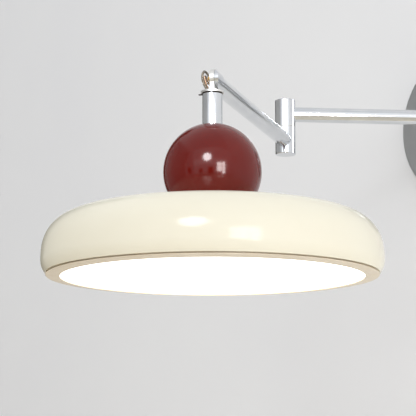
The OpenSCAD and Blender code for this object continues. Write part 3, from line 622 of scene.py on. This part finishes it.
# Knuckle leads: two clear sleeves over twisted strands, on the same routes as their CAD solids,
# in millimetres from the tilt pivot
HEAD_TURN = math.atan2(HEAD_PIVOT.y - ELBOW.y, HEAD_PIVOT.x - ELBOW.x) + math.pi / 2
HEAD_FRAME = Matrix.Translation(HEAD_PIVOT) @ Matrix.Rotation(HEAD_TURN, 4, "Z")
LEAD_R = 1.1 * MM
SLEEVE_SIDES = 20
STRANDS = 3
STRAND_R = 0.33 * MM
STRAND_OFFSET = 0.36 * MM
STRAND_TURNS = 9
STRAND_SIDES = 8
LOOP_OUTER = [(-4.4, 8.8, -0.8), (-4.4, 7.4, -0.8), (-4.6, 6, 0.9), (-5.2, 4.4, 3.8), (-6.3, 2.1, 6.3),
              (-7.5, -0.8, 6.7), (-8.2, -3.1, 3.6), (-8.1, -4.1, -0.4), (-7.3, -3.7, -4.2),
              (-5.9, -2.8, -7.6), (-4.7, -2, -9.8), (-3.9, -1.5, -11.9), (-3.6, -1.5, -13.9),
              (-3.1, -1.5, -15.7), (-2.2, -1.4, -17.3), (-0.9, -1.2, -19), (0, -1.2, -21),
              (0, -1.2, -22.7)]
LOOP_INNER = [(-4.4, 8.8, -3.2), (-4.4, 7.4, -3.2), (-5.1, 5.9, -3), (-6, 4.4, -1.3), (-6.6, 2.7, 0.9),
              (-6.9, 1, 2.4), (-7.1, -0.4, 1.4), (-6.8, -0.8, -1), (-6.2, -0.2, -3.6), (-5.4, 0.6, -6.4),
              (-4.6, 1.2, -9), (-3.9, 1.5, -11.9), (-3.6, 1.5, -13.9), (-3.1, 1.5, -15.7),
              (-2.2, 1.4, -17.3), (-0.9, 1.2, -19), (0, 1.2, -21), (0, 1.2, -22.7)]


def smooth_route(points, steps=6):
    """A smooth curve through the route's points."""
    route = [Vector(p) * MM for p in points]
    out = []
    for i in range(len(route) - 1):
        a, b, c, d = (route[max(0, min(len(route) - 1, i + k))] for k in (-1, 0, 1, 2))
        for j in range(steps):
            t = j / steps
            out.append(0.5 * (2 * b + (c - a) * t + (2 * a - 5 * b + 4 * c - d) * t * t
                              + (3 * b - a - 3 * c + d) * t ** 3))
    return out + [route[-1]]


def route_frames(route):
    """A point, a side and an up vector at each step, carried along without twisting."""
    frames = []
    side = Vector((1, 0.2, 0))
    for i, point in enumerate(route):
        ahead = (route[min(i + 1, len(route) - 1)] - route[max(i - 1, 0)]).normalized()
        side = (side - side.dot(ahead) * ahead).normalized()
        frames.append((point, side, ahead.cross(side)))
    return frames


def add_tube(bm, frames, radius, sides, offset=0.0, turns=0.0, phase=0.0):
    """Adds a closed tube along the frames; offset and turns wind it round them."""
    rings = []
    for i, (point, side, up) in enumerate(frames):
        angle = phase + 2 * math.pi * turns * i / (len(frames) - 1)
        middle = point + offset * (math.cos(angle) * side + math.sin(angle) * up)
        around = [2 * math.pi * k / sides for k in range(sides)]
        rings.append([bm.verts.new(HEAD_FRAME @ (middle + radius * (math.cos(a) * side
                                                                    + math.sin(a) * up)))
                      for a in around])
    join_rings(bm, rings, False)
    bm.faces.new(reversed(rings[0]))
    bm.faces.new(rings[-1])


def make_knuckle_leads():
    """One lead with tinned strands on the outer loop and one with copper strands on the inner."""
    sleeves = bmesh.new()
    pieces = []
    for name, loop, finish in (("knuckle_lead_tinned", LOOP_OUTER, tinned_strand()),
                               ("knuckle_lead_copper", LOOP_INNER, copper_strand())):
        frames = route_frames(smooth_route(loop))
        add_tube(sleeves, frames, LEAD_R, SLEEVE_SIDES)
        strands = bmesh.new()
        for k in range(STRANDS):
            add_tube(strands, frames, STRAND_R, STRAND_SIDES, STRAND_OFFSET, STRAND_TURNS,
                     2 * math.pi * k / STRANDS)
        pieces.append(new_object(name, finish_mesh(strands, name), finish))
    sleeve = new_object("knuckle_lead_sleeves", finish_mesh(sleeves, "knuckle_lead_sleeves"),
                        clear_sleeve())
    for piece in [sleeve] + pieces:
        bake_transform(piece)
    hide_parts("knuckle_leads")


make_knuckle_leads()


# Stage: wall, floor and lights
WALL_GAP = 0.4 * MM
STAGE_SIZE = 9.0
FLOOR_DROP = 0.9
WALL_HOLE_R = 76 * MM
WALL_HOLE_SIDES = 96
TINY = 1e-9


def flat_object(bm, name, finish):
    """A new flat piece from a built form."""
    mesh = bpy.data.meshes.new(name)
    bm.to_mesh(mesh)
    bm.free()
    return new_object(name, mesh, finish)


def stage_plane(name, corners, finish):
    """A four-cornered piece of the stage."""
    bm = bmesh.new()
    bm.faces.new([bm.verts.new(c) for c in corners])
    plane = flat_object(bm, name, finish)
    return plane


def wall_paint():
    """Pale wall paint that is seen through from behind."""
    paint = (Material("wall_paint", rgb(242, 243, 245), metallic=0.0, roughness=0.85)
             .mottle(rgb(239, 240, 243), scale=3)
             .bump(scale=60, depth=200 * MICRON))
    geometry = paint.nodes.new("ShaderNodeNewGeometry")
    clear = paint.nodes.new("ShaderNodeBsdfTransparent")
    mix = paint.nodes.new("ShaderNodeMixShader")
    paint.links.new(geometry.outputs["Backfacing"], mix.inputs["Fac"])
    paint.links.new(paint.shader.outputs["BSDF"], mix.inputs[1])
    paint.links.new(clear.outputs["BSDF"], mix.inputs[2])
    paint.links.new(mix.outputs["Shader"], paint.nodes["Material Output"].inputs["Surface"])
    return paint.mat


def floor_paint():
    return (Material("floor_paint", rgb(214, 205, 188), metallic=0.0, roughness=0.8)
            .mottle(rgb(208, 199, 181), scale=2)
            .bump(scale=40, depth=300 * MICRON).mat)


def make_wall(half, bottom, top):
    """The wall, open behind the canopy so that its inside is lit from the back."""
    turns = [2 * math.pi * i / WALL_HOLE_SIDES for i in range(WALL_HOLE_SIDES)]
    turns += [math.atan2(z, x) % (2 * math.pi) for x in (half, -half) for z in (bottom, top)]
    bm = bmesh.new()
    inner = []
    outer = []
    for turn in sorted(turns, reverse=True):
        x = math.cos(turn)
        z = math.sin(turn)
        reach = min(half / max(abs(x), TINY), (top if z > 0 else -bottom) / max(abs(z), TINY))
        inner.append(bm.verts.new((x * WALL_HOLE_R, WALL_GAP, z * WALL_HOLE_R)))
        outer.append(bm.verts.new((x * reach, WALL_GAP, z * reach)))
    join_rings(bm, [inner, outer], False)
    wall = flat_object(bm, "wall", wall_paint())


def make_stage():
    """The wall that holds the lamp and a floor well below it."""
    half = STAGE_SIZE / 2
    floor_z = cad_low.z - FLOOR_DROP
    top = floor_z + STAGE_SIZE
    make_wall(half, floor_z, top)
    stage_plane("floor", [(-half, -half, floor_z), (half, -half, floor_z),
                          (half, half, floor_z), (-half, half, floor_z)], floor_paint())


# The lights and flags all face a point a little above the shade
AIM = HEAD_AXIS + Vector((0, 0, 0.1))


def camera_side(toward, distance):
    """A point seen from the lamp in a direction given in the camera's axes, and that direction."""
    direction = (camera.matrix_world.to_3x3() @ Vector(toward)).normalized()
    return AIM + direction * distance, direction


def room_side(azimuth, elevation, distance):
    """The same for an azimuth to the right of the camera and an elevation, in degrees."""
    turn = CAMERA_YAW + math.radians(azimuth)
    rise = math.radians(elevation)
    level = math.cos(rise)
    direction = Vector((math.sin(turn) * level, -math.cos(turn) * level, math.sin(rise)))
    return AIM + direction * distance, direction


def overhead(height):
    """A point over the lamp's reach, and the direction up to it."""
    return HEAD_AXIS + Vector((0.3, -0.8, height)), Vector((0, 0, 1))


def area_light(name, place, size, radiance, colour=(1, 1, 1), mirror=True, lit=True):
    """A panel that faces the lamp: a disc if size is one number, else width and height.

    mirror shows it in reflections, and lit lets it light dull surfaces.
    """
    point, direction = place
    data = bpy.data.lights.new(name, "AREA")
    if isinstance(size, tuple):
        data.shape = "RECTANGLE"
        data.size, data.size_y = size
        area = size[0] * size[1]
    else:
        data.shape = "DISK"
        data.size = size
        area = math.pi * size * size / 4
    data.energy = radiance * math.pi * area
    data.color = colour
    light = bpy.data.objects.new(name, data)
    light.location = point
    light.rotation_mode = "QUATERNION"
    light.rotation_quaternion = direction.to_track_quat("Z", "Y")
    light.visible_camera = False
    light.visible_diffuse = lit
    light.visible_glossy = mirror
    bpy.context.scene.collection.objects.link(light)


FLAG_MOTTLE = 8


def only_mirrored(flag):
    """Leaves a flag to reflections alone."""
    flag.visible_camera = False
    flag.visible_diffuse = False
    flag.visible_shadow = False
    flag.visible_transmission = False


def dark_flag(name, place, width, height, grey, warm=0):
    """A dark panel that faces the lamp; warm takes blue out of its grey."""
    point, direction = place
    side = Vector((0, 0, 1)).cross(direction).normalized() * width / 2
    rise = direction.cross(side).normalized() * height / 2
    deep = grey - FLAG_MOTTLE
    finish = Material(name, rgb(grey, grey - warm / 3, grey - warm), metallic=0.0, roughness=0.9)
    finish.mottle(rgb(deep, deep - warm / 3, deep - warm), scale=5)
    corners = [point - side - rise, point + side - rise, point + side + rise, point - side + rise]
    only_mirrored(stage_plane(name, corners, finish.mat))


# A narrow dark edge beside the wall, left of the picture, that darkens the left outlines
CORNER_X = -1.32
CORNER_DEPTH = 0.42
CORNER_LOW = -1.0
CORNER_HIGH = 1.4


def corner_flag():
    """A dark strip that stands out from the wall."""
    finish = Material("corner", rgb(58, 56, 50), metallic=0.0, roughness=0.9)
    finish.mottle(rgb(50, 48, 43), scale=5)
    corners = [(CORNER_X, 0, CORNER_LOW), (CORNER_X, -CORNER_DEPTH, CORNER_LOW),
               (CORNER_X, -CORNER_DEPTH, CORNER_HIGH), (CORNER_X, 0, CORNER_HIGH)]
    only_mirrored(stage_plane("corner", corners, finish.mat))


# The key light's direction in the camera's axes; its glow hangs a little nearer
KEY_TOWARD = (-0.2026, 0.555, 0.807)
KEY_DISTANCE = 2.2
GLOW_DISTANCE = 2.1
DAYLIGHT = (0.97, 0.98, 1.0)
WARM_WINDOW = (1.0, 0.95, 0.93)
WORLD_COLOUR = (0.96, 0.975, 1.0, 1)
WORLD_STRENGTH = 0.7


def make_lights():
    """Soft lights for the dull surfaces, and panels that only show in reflections."""
    key = camera_side(KEY_TOWARD, KEY_DISTANCE)
    glow = camera_side(KEY_TOWARD, GLOW_DISTANCE)
    area_light("key", key, size=0.5, radiance=6.6, mirror=False)
    area_light("key_halo", key, size=0.95, radiance=1.6, lit=False)
    area_light("key_glow", glow, size=0.66, radiance=25, colour=DAYLIGHT, lit=False)
    area_light("window_left", room_side(15.7, 1, 1.0), size=(0.2, 0.36), radiance=17,
               colour=WARM_WINDOW, lit=False)
    area_light("window_right", room_side(25.3, -1, 1.0), size=(0.1, 0.46), radiance=20,
               colour=WARM_WINDOW, lit=False)
    area_light("room", room_side(-7, 21, 2.9), size=(4.6, 2.6), radiance=0.88, mirror=False)
    area_light("low_right", room_side(52, -48, 1.1), size=(0.8, 0.8), radiance=1.9, mirror=False)
    area_light("ceiling", overhead(2.1), size=(3.2, 3.2), radiance=0.16, mirror=False)
    area_light("open_room", room_side(-2, 16, 2.85), size=(5.2, 3.6), radiance=0.38, lit=False)
    area_light("bright_strip", room_side(-5, 14, 2.8), size=(4.3, 0.7), radiance=0.55, lit=False)
    area_light("right_wall", room_side(75, 14, 2.9), size=(3.6, 3.6), radiance=0.36, lit=False)
    area_light("ceiling_glow", overhead(2.0), size=(3.6, 3.6), radiance=0.12, lit=False)
    dark_flag("far_side", room_side(-107, 8, 3.0), width=5.4, height=4.4, grey=194)
    dark_flag("rug", room_side(8, -44, 2.3), width=4.4, height=1.9, grey=92, warm=18)
    dark_flag("stand", room_side(-4, -7, 2.0), width=0.42, height=0.56, grey=34)
    dark_flag("chair", room_side(-27, -7, 2.0), width=0.3, height=0.34, grey=34)
    dark_flag("lamp_table", room_side(-54, -4, 2.0), width=0.3, height=0.5, grey=70)
    corner_flag()
    world = bpy.data.worlds.new("world")
    world.use_nodes = True
    background = world.node_tree.nodes["Background"]
    background.inputs["Color"].default_value = WORLD_COLOUR
    background.inputs["Strength"].default_value = WORLD_STRENGTH
    bpy.context.scene.world = world


make_stage()
make_lights()
